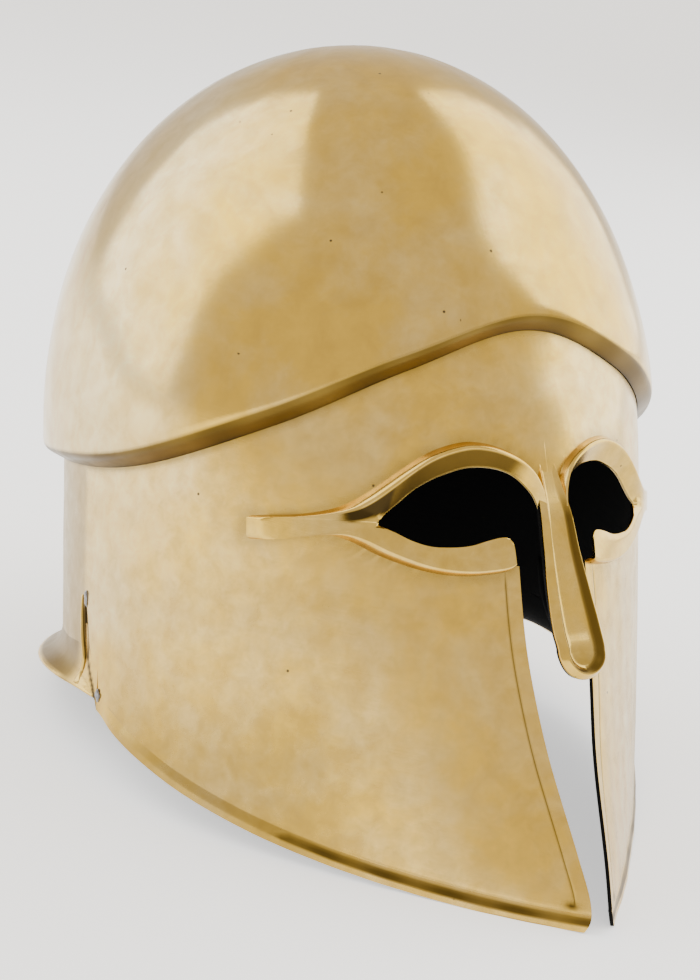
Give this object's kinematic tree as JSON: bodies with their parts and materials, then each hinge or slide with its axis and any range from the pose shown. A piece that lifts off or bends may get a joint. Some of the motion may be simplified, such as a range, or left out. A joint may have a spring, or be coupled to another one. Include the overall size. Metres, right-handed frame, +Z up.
{
  "type": "corinthian helmet",
  "caption": "Hollow brass sheet helmet with a domed skull, raised eye borders, a spoon-shaped nose guard, pointed cheeks and a flared neck guard.",
  "frame": {"origin": "bottom centre of the bounding box, on the surface the helmet stands on", "axes": "+Z up as it rests, -Y the way the face looks, +X to the wearer's left"},
  "size_m": [0.212, 0.2906, 0.2412],
  "materials": {
    "polished_brass": "polished, hand rubbed, lightly tarnished"
  },
  "bodies": {
    "root": {"skull_bowl": "polished_brass", "face_wall": "polished_brass"}
  },
  "joints": []
}
